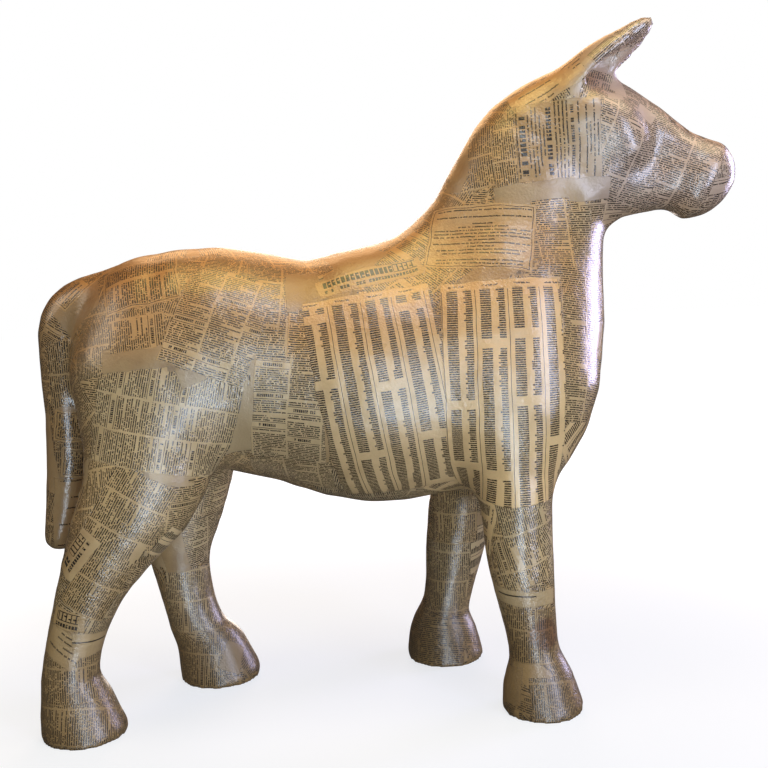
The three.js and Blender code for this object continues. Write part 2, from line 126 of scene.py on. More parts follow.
class Skin:
    """The skin's points and the ways between them, kept in arrays."""

    def __init__(self, mesh):
        self.mesh = mesh
        self.co = read(mesh.vertices, "co", 3)
        self.quads = read(mesh.loops, "vertex_index", 1, np.int64).reshape(-1, 4)
        corners = ((0, 1), (1, 2), (2, 3), (3, 0))
        across = ((0, 2), (1, 3))
        # the ways from each point, along sides and across quads, in the order of their starts
        pairs = np.concatenate([self.quads[:, pair] for pair in corners + across])
        pairs = np.unique(np.concatenate([pairs, pairs[:, ::-1]]), axis=0)
        self.to = pairs[:, 1]
        self.first = np.searchsorted(pairs[:, 0], np.arange(len(self.co) + 1))
        sides = np.concatenate([self.quads[:, pair] for pair in corners])
        self.sides = np.unique(np.sort(sides, axis=1), axis=0)
        self.degree = np.bincount(self.sides.ravel(), minlength=len(self.co))[:, None]
        self.find_normals()

    def find_normals(self):
        """Each point's normal is the mean of its quads' normals, the larger ones counting more."""
        a, b, c, d = (self.co[self.quads[:, k]] for k in range(4))
        face = np.cross(c - a, d - b)
        normal = np.zeros_like(self.co)
        for k in range(4):
            for axis in range(3):
                normal[:, axis] += np.bincount(self.quads[:, k], face[:, axis], len(self.co))
        self.normal = normal / np.linalg.norm(normal, axis=1, keepdims=True)

    def mean_of_neighbours(self, values):
        total = np.zeros_like(values)
        for one, other in (self.sides.T, self.sides.T[::-1]):
            for axis in range(values.shape[1]):
                total[:, axis] += np.bincount(one, values[other, axis], len(values))
        return total / self.degree

    def settle(self):
        """Smooths the facets away; the soles stay flat on the floor."""
        start = self.co.copy()
        sole = start[:, 2] < SOLE
        for _ in range(SETTLE):
            for share in IN_AND_OUT:
                self.co += share * (self.mean_of_neighbours(self.co) - self.co)
                self.co[sole, 2] = start[sole, 2]
        moved = self.co - start
        far = np.linalg.norm(moved, axis=1, keepdims=True)
        self.co = start + moved * np.minimum(1, MOST_SETTLE / np.maximum(far, 1e-9))
        self.find_normals()

    def blunt_ears(self):
        """Rounds the ears' ends with the paper that is folded over them."""
        low, high = EAR_TIPS
        share = np.clip((self.co[:, 2] - low) / (high - low), 0, 1)[:, None]
        self.co += (self.normal - (0, 0, 1)) * share * BLUNT
        self.find_normals()

    def flare_hooves(self):
        """Hollows the hooves' walls a little, so that they spread straight down to the floor."""
        rise = np.clip(self.co[:, 2] / HOOF, 0, 1)
        self.co[:, :2] -= self.normal[:, :2] * (HOLLOW * np.sin(np.pi * rise))[:, None]
        self.find_normals()

    def add_lumps(self):
        """Lays the slight unevenness of pasted paper over the form, and less of it on the feet."""
        rise = np.zeros(len(self.co))
        for width, height in LUMPS:
            scale = 1 / (width * MM)
            aside = Vector((3, 7, width))        # so that no two widths line up
            for n, place in enumerate(self.co):
                rise[n] += height * MM * noise.noise(Vector(place) * scale + aside)
        rise *= np.clip(self.co[:, 2] / FEET, 0, 1)
        self.co += self.normal * rise[:, None]
        low, high = (np.array(corner) for corner in CAD_BOX)
        self.co = np.clip(self.co, low, high)
        self.find_normals()

    def write(self):
        """Gives the mesh the points' places."""
        self.mesh.vertices.foreach_set("co", self.co.astype(np.float32).ravel())
        self.mesh.update()


# ---- The sheets of newspaper --------------------------------------------------------------------
# Each sheet lies flat in its own millimetres: u along its lines of print, v up the page.

KINDS = ("plain", "columns", "classified", "table", "notice", "headline", "panel", "sparse",
         "boxed", "ruled")
Sheet = namedtuple("Sheet", "kind at size turn side shift", defaults=("near", 0))

# The sheets of the right side, which faces the viewer. at is how far ahead of the middle and how
# far up, size is along and across the lines of print, and shift is how far along the first column
# starts, all in mm; turn is the lines' slope in degrees. Those laid last come first, because they
# cover the others.
LAID = (
    # neck and shoulder
    Sheet("notice", (100, 514), (116, 76), 0),
    Sheet("columns", (181, 515), (43, 76), 0),
    Sheet("columns", (214, 505), (36, 66), 0),
    Sheet("plain", (185, 561), (130, 24), 3),
    Sheet("headline", (-17, 478), (116, 24), 10),
    Sheet("table", (115, 350), (128, 240), 0),
    Sheet("table", (-8, 346), (136, 240), 8, shift=-9),
    Sheet("columns", (202, 400), (56, 170), -12),
    Sheet("panel", (191, 613), (90, 92), 90),
    Sheet("columns", (136, 600), (84, 26), 90),
    Sheet("columns", (110, 602), (74, 30), 88),
    Sheet("plain", (90, 590), (60, 24), 64),
    Sheet("sparse", (186, 672), (86, 34), 31),
    Sheet("columns", (70, 556), (60, 50), 52),
    # head
    Sheet("plain", (284, 712), (10, 40), -46),
    Sheet("plain", (256, 659), (20, 10), -8),
    Sheet("plain", (291, 640), (24, 16), -42),
    Sheet("columns", (258, 607), (108, 112), -23),
    Sheet("columns", (330, 580), (74, 92), -24),
    Sheet("columns", (300, 552), (110, 40), -20),
    Sheet("columns", (268, 716), (84, 40), 42),
    Sheet("columns", (238, 672), (50, 30), 62),
    # back and rump
    Sheet("boxed", (-328, 484), (74, 24), 34),
    Sheet("plain", (-330, 458), (60, 44), 38),
    Sheet("classified", (-178, 440), (92, 118), -21),
    Sheet("classified", (-262, 434), (44, 62), 96),
    Sheet("plain", (-206, 384), (26, 22), 20),
    Sheet("plain", (-262, 406), (76, 26), 3),
    Sheet("boxed", (-262, 484), (66, 84), 100),
    Sheet("columns", (-190, 488), (80, 62), -6),
    Sheet("columns", (-128, 463), (42, 84), -9),
    Sheet("plain", (-90, 466), (38, 50), 4),
    Sheet("columns", (-80, 500), (130, 34), 2),
    # flank
    Sheet("classified", (-88, 418), (40, 46), -6),
    Sheet("classified", (-123, 421), (42, 44), -6),
    Sheet("classified", (-108, 342), (78, 124), -8),
    Sheet("sparse", (-62, 335), (14, 118), -2),
    Sheet("columns", (-110, 270), (90, 50), -8),
    # thigh
    Sheet("classified", (-238, 340), (112, 150), 77),
    Sheet("plain", (-262, 276), (90, 18), -16),
    Sheet("headline", (-336, 205), (56, 28), 52),
    Sheet("columns", (-282, 236), (104, 72), 58),
    Sheet("columns", (-312, 176), (84, 54), 55),
    Sheet("headline", (-352, 134), (40, 20), -16),
    Sheet("columns", (-352, 152), (44, 34), -35),
    Sheet("ruled", (-325, 106), (50, 26), 0),
    Sheet("sparse", (-358, 106), (44, 34), -38),
    Sheet("columns", (-348, 70), (52, 80), 88),
    Sheet("columns", (-345, 24), (44, 96), 86),
    # tail
    Sheet("boxed", (-352, 330), (36, 36), 82),
    Sheet("boxed", (-348, 288), (34, 34), 82),
    Sheet("columns", (-348, 385), (74, 44), 92),
    Sheet("sparse", (-356, 228), (46, 84), 2),
    # near front leg
    Sheet("ruled", (128, 130), (78, 18), -3),
    Sheet("columns", (135, 222), (42, 66), -75),
    Sheet("classified", (126, 172), (58, 56), -72),
    Sheet("columns", (156, 178), (60, 40), -62),
    Sheet("columns", (136, 88), (62, 56), 90),
    Sheet("classified", (158, 24), (42, 52), 90),
    Sheet("plain", (110, 32), (40, 40), 20),
    # the inner faces of the far legs
    Sheet("columns", (75, 185), (70, 60), 92, "inner"),
    Sheet("columns", (68, 110), (90, 60), 88, "inner"),
    Sheet("classified", (88, 36), (50, 36), -18, "inner"),
    Sheet("columns", (55, 30), (60, 60), -6, "inner"),
    Sheet("columns", (-200, 240), (50, 70), 10, "inner"),
    Sheet("plain", (-260, 168), (30, 60), 8, "inner"),
    Sheet("columns", (-228, 178), (56, 60), 12, "inner"),
    Sheet("columns", (-242, 104), (78, 66), 88, "inner"),
    Sheet("plain", (-198, 34), (26, 34), -30, "inner"),
    Sheet("columns", (-178, 26), (46, 34), 50, "inner"),
    Sheet("columns", (-238, 30), (52, 56), 86, "inner"),
)

# The sheets laid at random: how likely each kind is, and the slopes of their lines.
FILLERS = {"columns": 0.5, "classified": 0.31, "plain": 0.04, "table": 0.06, "sparse": 0.05,
           "notice": 0.04}
SLOPES = (0, 90, 90, 180, -15, 12, 75, -78, 45, -40)
WOBBLE = 5                          # degrees that a sheet is usually off such a slope
HALF_LENGTHS, HALF_WIDTHS = (28, 62), (22, 52)   # mm
SHIFTS = (-30, 0)                   # mm
LEG_HEIGHT, LEG_SIZE = 0.22, 0.55   # below this height sheets are smaller, by this much

SLOTS = 3                           # sheets that the material can tell apart at one place
EDGE_ROOM = 4.0                     # mm that an edge may wander
SPARE = 6.0                         # mm that a sheet is unrolled past that
MOST_SPAN = 6                       # pitches that a quad may take up once it is unrolled
SEEDS = 512                         # numbers that sheets of one kind draw theirs from
MIDDLE = 0.02                       # between the near legs and the inner faces of the far ones
FACING = -0.05                      # a point faces the right side if its normal leans this far
OUT_OF_REACH = 1.0                  # metres, farther away than any point of the skin
STEEPEST = -0.3                     # a slope is kept only where the skin leans no farther over
LEVEL = 0.2                         # skin that leans less than this counts as level


def nearest_place(skin, sheet):
    """The point of the skin under a sheet's middle, seen from the right side."""
    x, z = (value * MM for value in sheet.at)
    away = np.hypot(skin.co[:, 0] - x, skin.co[:, 2] - z)
    across = skin.co[:, 1]
    other_half = across > MIDDLE if sheet.side == "near" else across < MIDDLE
    away += (skin.normal[:, 1] > FACING) * OUT_OF_REACH + other_half * OUT_OF_REACH
    return int(np.argmin(away))


def slope_on(normal, turn):
    """The way along a surface that has this slope when it is seen from the right side."""
    x, z = math.cos(turn), math.sin(turn)
    toward = -(x * normal[0] + z * normal[2]) / min(normal[1], STEEPEST)
    return np.array([x, toward, z])


def unroll(skin, start, along, reach_u, reach_v):
    """Unrolls the skin round a point: the points reached and their flat places, in metres."""
    count = len(skin.co)
    flat = np.zeros((count, 2))
    heading = np.zeros((count, 3))
    seen = np.zeros(count, bool)
    normal = skin.normal[start]
    along = along - along.dot(normal) * normal
    heading[start] = along / np.linalg.norm(along)
    seen[start] = True
    ring = np.array([start])
    reached = [ring]
    while len(ring):
        spans = [np.arange(skin.first[v], skin.first[v + 1]) for v in ring]
        source = np.repeat(ring, [len(span) for span in spans])
        target = skin.to[np.concatenate(spans)]
        fresh = ~seen[target]
        source, target = source[fresh], target[fresh]
        if not len(target):
            break
        step = skin.co[target] - skin.co[source]
        up = skin.normal[source]
        ahead = heading[source]
        left = np.cross(up, ahead)
        du = (step * ahead).sum(1)
        dv = (step * left).sum(1)
        length = np.linalg.norm(step, axis=1)
        scale = length / np.maximum(np.hypot(du, dv), 1e-9)
        new, slot = np.unique(target, return_inverse=True)
        weight = 1 / length
        total = np.bincount(slot, weight)
        flat[new, 0] = np.bincount(slot, (flat[source, 0] + du * scale) * weight) / total
        flat[new, 1] = np.bincount(slot, (flat[source, 1] + dv * scale) * weight) / total
        for axis in range(3):
            heading[new, axis] = np.bincount(slot, ahead[:, axis] * weight)
        normal = skin.normal[new]
        heading[new] -= (heading[new] * normal).sum(1, keepdims=True) * normal
        heading[new] /= np.maximum(np.linalg.norm(heading[new], axis=1, keepdims=True), 1e-9)
        seen[new] = True
        inside = (np.abs(flat[new, 0]) < reach_u) & (np.abs(flat[new, 1]) < reach_v)
        ring = new[inside]
        reached.append(ring)
    found = np.concatenate(reached)
    return found, flat[found]


class Pasting:
    """Keeps, for each face and slot, the sheet that lies there and its flat places."""

    def __init__(self, skin):
        self.skin = skin
        faces = len(skin.quads)
        self.used = np.zeros(faces, int)
        self.covered = np.zeros(faces, bool)
        self.place = np.zeros((SLOTS, faces, 4, 3), np.float32)
        self.size = np.zeros((SLOTS, faces, 4, 3), np.float32)
        self.sheets = 0

    def lay(self, start, along, half_u, half_v, kind, seed, shift):
        """Lays a sheet under all those laid before it. Sizes are in mm."""
        room = EDGE_ROOM + SPARE
        found, flat = unroll(self.skin, start, along, (half_u + room) * MM, (half_v + room) * MM)
        u = np.full(len(self.skin.co), np.inf)
        v = np.full(len(self.skin.co), np.inf)
        u[found], v[found] = (flat / MM).T
        cu, cv = u[self.skin.quads], v[self.skin.quads]
        # Quads that the unrolling has not reached all round, or has torn open, are left out.
        whole = np.isfinite(cu).all(1)
        span = sum(np.ptp(np.where(whole[:, None], flat_corners, 0), axis=1)
                   for flat_corners in (cu, cv))
        whole &= span < MOST_SPAN * EVEN / MM
        out = np.maximum(np.abs(cu) - half_u, np.abs(cv) - half_v)
        touched = whole & (out.min(1) < EDGE_ROOM) & ~self.covered & (self.used < SLOTS)
        full = whole & (out.max(1) < -EDGE_ROOM)
        faces = np.flatnonzero(touched)
        slot = self.used[faces]
        tag = KINDS.index(kind) * SEEDS + seed
        self.place[slot, faces, :, 0] = cu[faces]
        self.place[slot, faces, :, 1] = cv[faces]
        self.place[slot, faces, :, 2] = tag
        self.size[slot, faces] = (half_u, half_v, shift)
        self.used[faces] += 1
        self.covered |= full
        self.sheets += 1

    def write(self):
        """Keeps the places and sizes on the mesh's corners, for the material."""
        mesh = self.skin.mesh
        for slot in range(SLOTS):
            for name, values in (("place", self.place), ("sheet", self.size)):
                layer = mesh.attributes.new(f"{name}_{slot}", "FLOAT_VECTOR", "CORNER")
                layer.data.foreach_set("vector", values[slot].ravel())


def paste_chosen(pasting):
    """Lays the sheets that have a place of their own."""
    skin = pasting.skin
    for number, sheet in enumerate(LAID):
        start = nearest_place(skin, sheet)
        along = slope_on(skin.normal[start], math.radians(sheet.turn))
        half_u, half_v = (value / 2 for value in sheet.size)
        pasting.lay(start, along, half_u, half_v, sheet.kind, number, sheet.shift)


def paste_rest(pasting):
    """Lays others at random until nothing is bare."""
    skin = pasting.skin
    for face in rng.permutation(len(skin.quads)):
        if pasting.covered[face] or pasting.used[face] >= SLOTS:
            continue
        start = int(skin.quads[face, 0])
        kind = str(rng.choice(list(FILLERS), p=list(FILLERS.values())))
        turn = math.radians(float(rng.choice(SLOPES)) + rng.normal(0, WOBBLE))
        normal = skin.normal[start]
        across = np.cross(normal, (0, 0, 1))
        if np.linalg.norm(across) < LEVEL:
            across = np.array([1.0, 0, 0])
        across = across / np.linalg.norm(across)
        climb = np.cross(across, normal)
        along = across * math.cos(turn) - climb * math.sin(turn)
        slim = LEG_SIZE if skin.co[start, 2] < LEG_HEIGHT else 1.0
        half_u = rng.uniform(*HALF_LENGTHS) * slim
        half_v = rng.uniform(*HALF_WIDTHS) * slim
        seed = int(rng.integers(SEEDS))
        shift = float(rng.uniform(*SHIFTS))
        pasting.lay(start, along, half_u, half_v, kind, seed, shift)


def paste_all(skin):
    """Pastes the whole skin over."""
    pasting = Pasting(skin)
    paste_chosen(pasting)
    paste_rest(pasting)
    pasting.write()
    print("sheets laid", pasting.sheets, "bare faces", int((pasting.used == 0).sum()))


# ---- Shader expressions -------------------------------------------------------------------------

class Wire:
    """A number or vector in a material. Expressions on numbers add their Math nodes."""

    def __init__(self, paint, socket):
        self.paint, self.socket = paint, socket

    def math(self, operation, *others):
        return self.paint.math(operation, self, *others)

    def __add__(self, other):
        return self.math("ADD", other)

    def __sub__(self, other):
        return self.math("SUBTRACT", other)

    def __rsub__(self, other):
        return self.paint.math("SUBTRACT", other, self)

    def __mul__(self, other):
        return self.math("MULTIPLY", other)

    def __truediv__(self, other):
        return self.math("DIVIDE", other)

    __radd__ = __add__
    __rmul__ = __mul__

    def floor(self):
        return self.math("FLOOR")

    def abs(self):
        return self.math("ABSOLUTE")

    def over(self, other):
        return self.math("GREATER_THAN", other)

    def under(self, other):
        return self.math("LESS_THAN", other)

    def most(self, other):
        return self.math("MAXIMUM", other)

    def least(self, other):
        return self.math("MINIMUM", other)


class Paint:
    """A material under construction, with its shader's sockets."""

    def __init__(self, name):
        self.material = bpy.data.materials.new(name)
        self.material.use_nodes = True
        self.tree = self.material.node_tree
        self.shader = self.tree.nodes["Principled BSDF"]

    def add(self, kind, settings=None, sockets=None, out=0):
        """Adds a node: first its settings, then the values or wires of its sockets."""
        node = self.tree.nodes.new(kind)
        for name, value in (settings or {}).items():
            if name == "stops":
                self.fill_steps(node.color_ramp, value)
            else:
                setattr(node, name, value)
        for name, value in (sockets or {}).items():
            if isinstance(value, Wire):
                self.tree.links.new(value.socket, node.inputs[name])
            else:
                node.inputs[name].default_value = value
        if isinstance(out, tuple):
            return tuple(Wire(self, node.outputs[o]) for o in out)
        return Wire(self, node.outputs[out])

    def fill_steps(self, ramp, stops):
        """Gives a ramp flat steps, each from its place on."""
        ramp.interpolation = "CONSTANT"
        while len(ramp.elements) < len(stops):
            ramp.elements.new(1.0)
        for element, (place, colour) in zip(ramp.elements, stops):
            element.position = place
            element.color = (*colour, 1)

    def math(self, operation, *values):
        """A sum on numbers."""
        return self.add("ShaderNodeMath", {"operation": operation}, dict(enumerate(values)))

    def split(self, vector):
        """A vector's three numbers."""
        return self.add("ShaderNodeSeparateXYZ", {}, {0: vector}, out=(0, 1, 2))

    def join(self, x, y, z):
        """A vector of three numbers."""
        return self.add("ShaderNodeCombineXYZ", {}, {0: x, 1: y, 2: z})

    def read(self, name):
        """What the mesh keeps under a name."""
        return self.add("ShaderNodeAttribute", {"attribute_name": name}, out="Vector")

    def dice(self, a, b, c):
        """Three even chances from 0 to 1 that stay the same for the same whole numbers."""
        colour = self.add("ShaderNodeTexWhiteNoise", {"noise_dimensions": "3D"},
                          {"Vector": self.join(a, b, c)}, out="Color")
        return self.add("ShaderNodeSeparateColor", {}, {0: colour}, out=(0, 1, 2))

    def noise(self, where, scale, detail=2.0, rough=0.5, out="Fac"):
        """An uneven field about a half, or with Color three of them."""
        return self.add("ShaderNodeTexNoise", {},
                        {"Vector": where, "Scale": scale, "Detail": detail, "Roughness": rough},
                        out=out)

    def soft(self, value, low, high):
        """0 below low, 1 above high, and a smooth rise between."""
        return self.add("ShaderNodeMapRange", {"interpolation_type": "SMOOTHSTEP"},
                        {"Value": value, "From Min": low, "From Max": high})

    def mix(self, share, one, other):
        """Mixes two numbers."""
        return self.add("ShaderNodeMix", {"data_type": "FLOAT"}, {0: share, 2: one, 3: other})

    def mix_vector(self, share, one, other):
        """Mixes two vectors."""
        return self.add("ShaderNodeMix", {"data_type": "VECTOR"},
                        {0: share, 4: one, 5: other}, out=1)

    def mix_colour(self, share, one, other, blend="MIX"):
        """Mixes two colours, or multiplies them."""
        return self.add("ShaderNodeMix", {"data_type": "RGBA", "blend_type": blend},
                        {0: share, 6: one, 7: other}, out=2)

    def pick(self, kind, table):
        """Looks up three numbers for a kind of sheet, in the order of KINDS."""
        stops = [(n / len(KINDS), table[name]) for n, name in enumerate(KINDS)]
        colour = self.add("ShaderNodeValToRGB", {"stops": stops},
                          {0: (kind + 0.5) / len(KINDS)})
        return self.add("ShaderNodeSeparateColor", {}, {0: colour}, out=(0, 1, 2))


def srgb(red, green, blue):
    """A colour by its screen values from 0 to 255, as the linear colour that a shader takes."""
    return (*((c / 255 / 12.92) if c <= 10 else ((c / 255 + 0.055) / 1.055) ** 2.4
              for c in (red, green, blue)), 1)


PAPER_WARM = srgb(206, 174, 122)
PAPER_COOL = srgb(200, 177, 134)
GLUE = srgb(158, 128, 86)           # where glue has soaked through
AMBER_AND_TOP_LIGHT = srgb(186, 111, 36)          # varnish that light has darkened, and painted warm light from above, on the upper sides
EDGE_DIRT_AND_SHADOW = srgb(96, 74, 50)             # dirt and glue along the edges of the sheets, and a painted thin shadow there
PAINTED_HEAD_LIGHT = srgb(206, 180, 166)         # painted lavender light on the head: lighter and pinker than the paper
TAIL_SHADE = srgb(148, 106, 66)           # painted shade that makes the tail darker and browner
LOW_TONE = srgb(130, 102, 62)           # darker and browner towards the floor
SPILL = (0.152, -0.115, 0.09)       # where brown varnish has pooled on the right front leg
SPILT = srgb(122, 84, 56)
SPILL_SIZE = (0.014, 0.022)         # metres from its middle to where it starts and stops fading
INK = srgb(27, 22, 17)


# ---- The print ---------------------------------------------------------------------------------
# The tables below hold numbers from 0 to 1, so lengths are kept there as shares of these, in mm.
PITCHES, LETTERS, COLUMNS, GUTTERS = 10, 5, 200, 20

# For each kind of sheet: line pitch, height of the strokes as a share of it, width of a stroke.
TYPE = {
    "plain": (0.5, 0.0, 0.3), "columns": (0.24, 0.54, 0.21), "classified": (0.235, 0.54, 0.21),
    "table": (0.242, 0.66, 0.24), "notice": (0.4, 0.36, 0.24), "headline": (0.4, 0.0, 0.3),
    "panel": (0.41, 0.36, 0.26), "sparse": (0.62, 0.26, 0.26), "boxed": (0.25, 0.62, 0.21),
    "ruled": (0.5, 0.0, 0.3),
}
# Column width, gutter, chance that a stroke is a gap between words.
SETTING = {
    "plain": (0.2, 0.1, 0.2), "columns": (0.188, 0.055, 0.17), "classified": (0.183, 0.055, 0.17),
    "table": (0.1725, 0.1, 0.0), "notice": (0.6, 0.35, 0.16), "headline": (0.6, 0.2, 0.14),
    "panel": (0.46, 0.2, 0.16), "sparse": (0.3, 0.3, 0.16), "boxed": (0.19, 0.12, 0.18),
    "ruled": (0.2, 0.1, 0.2),
}
# Share of short lines, chance of a bold heading in a block of lines, strength of a frame.
LAYOUT = {
    "plain": (0, 0, 0), "columns": (0.13, 0.05, 0), "classified": (0.22, 0.62, 0),
    "table": (0, 0, 0), "notice": (0.75, 0, 1), "headline": (0.2, 0, 0),
    "panel": (0.7, 0, 0), "sparse": (0.8, 0, 0), "boxed": (0.15, 0, 1),
    "ruled": (0, 0, 0),
}
# Strength of the ink, whether lines are centred, chance that a line is left blank.
WEIGHT = {
    "plain": (0, 0, 1), "columns": (0.97, 0, 0), "classified": (0.97, 0, 0.01),
    "table": (1, 0, 0), "notice": (0.95, 0.5, 0.2), "headline": (1, 0.3, 1),
    "panel": (0.95, 0.5, 0.16), "sparse": (0.9, 0.5, 0.35), "boxed": (0.97, 0, 0.02),
    "ruled": (0.95, 0, 1),
}
BLOCK = 14                          # lines in a block of a classified column
HEAD = 4                            # of which a heading and its rules take this many
HEAD_RULES = (0.4, 3.5)             # where its two rules lie, in lines
BATCH, FILLED = 29, 25              # lines in a batch of figures, and those that are filled
BOLD = {                            # bold lines: place down the sheet, height, letter's width
    "headline": ((7.5, 8.2, 5.2), (17, 4.0, 3.4)),
    "panel": ((8, 6.6, 5.2), (36, 5.2, 4.2), (61, 3.4, 2.6)),
}
LIGHT_ON_DARK = 32                  # mm of a headline's end that are set light on dark
FRAME = 3.0                         # mm from a sheet's edge to the rule that frames it

Line = namedtuple("Line", "rows row column across luck mark stroke body")


def band(value, middle, half):
    """1 within half of the middle, else 0."""
    return (value - middle).abs().under(half)


def between(value, low, high):
    """1 between low and high, else 0."""
    return value.over(low) * value.under(high)


def is_kind(kind, name):
    """1 on sheets of this kind, else 0."""
    return band(kind, KINDS.index(name), 0.5)


def bold_line(p, x, y, high, wide, seed):
    """A bold line about y = 0: upright bars of uneven width, some of them nicked."""
    cells = x / wide
    cell = cells.floor()
    luck = p.dice(cell, seed, high)
    bar = (cells - cell - 0.5).abs().under(luck[2] * 0.12 + 0.32)
    nick = luck[1].over(0.45) * band(y / high, luck[2] * 0.5 - 0.25, 0.1)
    nick = nick * (cells - cell).over(0.4)
    return bar * y.abs().under(high / 2) * luck[0].over(0.13) * (1 - nick)


def heading(p, line, pitch, column_width, gutter, chance_of_one, seed):
    """A classified column's heading, a bold line between two rules: where it is, and its ink."""
    started = line.row + (p.dice(line.column, seed, 5.0)[0] * BLOCK).floor()
    block = (started / BLOCK).floor()
    within = line.rows - line.row + started - block * BLOCK
    luck = p.dice(block, line.column, seed + 9)
    headed = luck[0].under(chance_of_one) * within.under(HEAD)
    upper, lower = (band(within, place, 0.14) for place in HEAD_RULES)
    set_in = gutter * 0.6
    rules = upper.most(lower) * between(line.across, set_in, column_width - set_in)
    inset = gutter + (0.5 + luck[1] * 7)
    title = bold_line(p, line.across, (within - sum(HEAD_RULES) / 2) * pitch, 3.2, 2.0, block)
    title = title * between(line.across, inset, column_width - inset)
    return headed, title.most(rules)


def figures(p, line, y, seed):
    """A number table: a wide and a narrow block of figures between thin upright rules."""
    counted = line.row + (p.dice(line.column, seed, 21.0)[0] * BATCH).floor()
    batch = (counted / BATCH).floor()
    run = counted - batch * BATCH
    filled = run.under(FILLED).most(p.dice(batch, line.column, seed + 27)[0].under(0.62))
    wide = between(line.across, 5.2, 16.2)
    narrow = between(line.across, 24.2 - line.luck[1].under(0.25) * 2, 31.2)
    numbers = (wide + narrow) * filled * line.stroke * line.body * y.over(9)
    upright = line.across.under(0.6) * y.over(10)
    names = band(y, 5, 0.9) * line.stroke * band(line.across, 15 + line.luck[0] * 3, 8)
    return numbers.most(upright).most(names * line.mark[0].over(0.3))


def with_bold_lines(p, text, kind, u, y, half_u, seed):
    """Headlines and panels get their bold lines in place of the text there."""
    edges = (u.abs() - half_u + 7).under(0)
    for name, lines in BOLD.items():
        for down, high, wide in lines:
            ink = bold_line(p, u, y - down, high, wide, seed + down)
            if name == "headline" and high > 5:
                dark = band(y, down, high * 0.62) * (1 - ink)
                ink = p.mix(u.over(half_u - LIGHT_ON_DARK), ink, dark)
            near = band(y, down, high / 2 + 1.2)
            text = p.mix(is_kind(kind, name) * near, text, ink * edges)
    return text


def print_on(p, u, v, half_u, half_v, shift, edge, kind, seed):
    """How much ink lies at a place on a sheet, from 0 to 1."""
    pitch, tall, letter = p.pick(kind, TYPE)
    column_width, gutter, gap = p.pick(kind, SETTING)
    ragged, heads, framed = p.pick(kind, LAYOUT)
    strength, centred, blank = p.pick(kind, WEIGHT)
    pitch, letter = pitch * PITCHES, letter * LETTERS
    column_width, gutter = column_width * COLUMNS, gutter * GUTTERS
    x = u + half_u - shift
    y = half_v - v

    rows = y / pitch
    row = rows.floor()
    column = (x / column_width).floor()
    across = x - column * column_width
    luck = p.dice(row, column, seed)

    # the stretch of the row that is set, and the words in it
    short = luck[1].under(ragged) * luck[2] * column_width * 0.7
    left = gutter + short * centred
    right = column_width - gutter - short * (1 - centred)
    set_row = between(across, left, right) * luck[0].over(blank)
    letters = across / letter + luck[2] * 7
    place = letters.floor()
    mark = p.dice(place, row + column * 61, seed + 3)
    stroke = (letters - place - 0.5).abs().under(0.4 + mark[2] * 0.12)
    half = tall * (0.44 + mark[1] * 0.16)
    body = (rows - row - 0.5 + (mark[2] - 0.5) * 0.1).abs().under(half)
    text = set_row * stroke * body * mark[0].over(gap)

    line = Line(rows, row, column, across, luck, mark, stroke, body)
    headed, head = heading(p, line, pitch, column_width, gutter, heads, seed)
    text = p.mix(headed, text, head)
    text = p.mix(is_kind(kind, "table"), text, figures(p, line, y, seed))
    text = with_bold_lines(p, text, kind, u, y, half_u, seed)

    frame_line = band(edge, FRAME, 0.36) * framed
    text = text * (1 - framed * edge.under(FRAME * 1.5))
    single = is_kind(kind, "ruled") * band(v, 3, 0.8) * band(u, -8, 22)
    return (text * strength).most(frame_line).most(single)


# ---- The material -------------------------------------------------------------------------------

# How fine each unevenness is, in waves to a metre.
FINE = {"drift": 38, "fray": 420, "pull": 22, "wear": 900, "stain": 26, "fibre": 700, "smear": 9,
        "crease": 60, "creased": 14, "wrinkle": 150, "grit": 420, "gloss": 30}
DRIFT, FRAY, PULL = 6.5, 1.3, 3.0   # mm that edges drift and fray, and lines of print are pulled
SHEET, EXTRA = 0.1, 0.1             # mm that a sheet stands up at its edge, and more by luck
CREASE, WRINKLE, GRIT = 0.14, 0.45, 0.4          # mm

# Where each tint fades in, in metres ahead of the middle, behind it, or above the floor.
TAIL_SHADE_BEHIND, TAIL_SHADE_ABOVE = (0.305, 0.34), (0.17, 0.21)
HEAD_LIGHT_AHEAD, HEAD_LIGHT_ABOVE = (0.19, 0.27), (0.5, 0.56)
AGE_AND_TOP_LIGHT_ABOVE, DARKER_BELOW = (0.22, 0.42), (0.0, 0.22)
AGE_AND_TOP_LIGHT_FACING = (-0.1, 0.8)            # how far up the skin faces where age and the painted top light start and are full

# How much of each tint there is at most.
TINT = {"glue": 0.35, "glue on plain sheets": 0.3, "age_and_top_light": 0.75, "tail": 0.45, "head": 0.7,
        "near_floor_tone": 0.85, "spill": 0.8, "edge_dirt_and_shadow": 0.35, "ink": 0.97}
TONE = 0.92                         # a sheet's lightness, and what it gains or loses
TONE_GAIN = {"luck": 0.16, "plain": -0.22, "table": 0.26, "panel": -0.14}


def uppermost(p, wander):
    """The sheet that lies uppermost: the place on it, its size, and the mm to its edge."""
    sheets = []
    for slot in range(SLOTS):
        place = p.read(f"place_{slot}")
        size = p.read(f"sheet_{slot}")
        u, v, _ = p.split(place)
        half_u, half_v, _ = p.split(size)
        edge = (half_u - u.abs()).least(half_v - v.abs()) + wander
        sheets.append((place, size, edge))
    place, size, edge = sheets.pop()
    for upper_place, upper_size, upper_edge in reversed(sheets):
        on_top = upper_edge.over(0)
        place = p.mix_vector(on_top, place, upper_place)
        size = p.mix_vector(on_top, size, upper_size)
        edge = p.mix(on_top, edge, upper_edge)
    return place, size, edge


